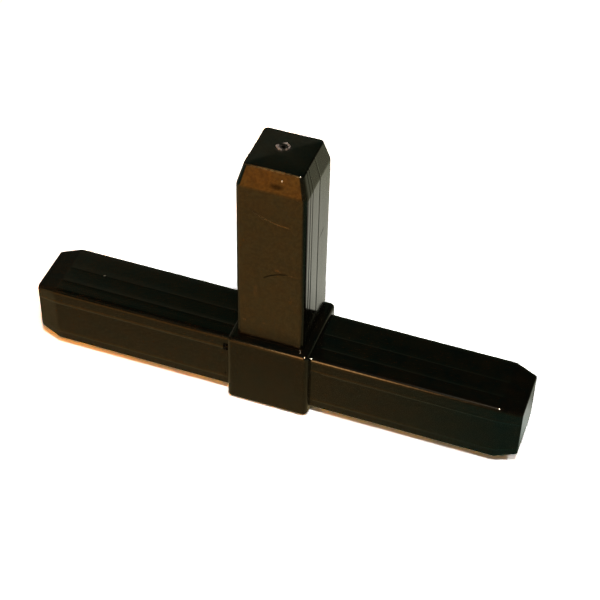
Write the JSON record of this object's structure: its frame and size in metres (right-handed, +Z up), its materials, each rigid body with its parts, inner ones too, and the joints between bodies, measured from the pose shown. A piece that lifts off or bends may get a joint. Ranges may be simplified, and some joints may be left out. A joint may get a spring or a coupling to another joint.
{
  "type": "tube t-connector",
  "caption": "One-piece moulded plastic T-connector: a cubic hub with square spigots, bevelled at the nose, that push into the ends of square tubes.",
  "frame": {"origin": "middle of the hub's underside, on which the part stands", "axes": "+X along the run of the two spigots in line, +Y across the run towards the back, +Z up along the stem"},
  "size_m": [0.12, 0.02, 0.0704],
  "materials": {
    "moulded_plastic": "gloss"
  },
  "bodies": {
    "root": {"connector_body": "moulded_plastic"}
  },
  "joints": []
}
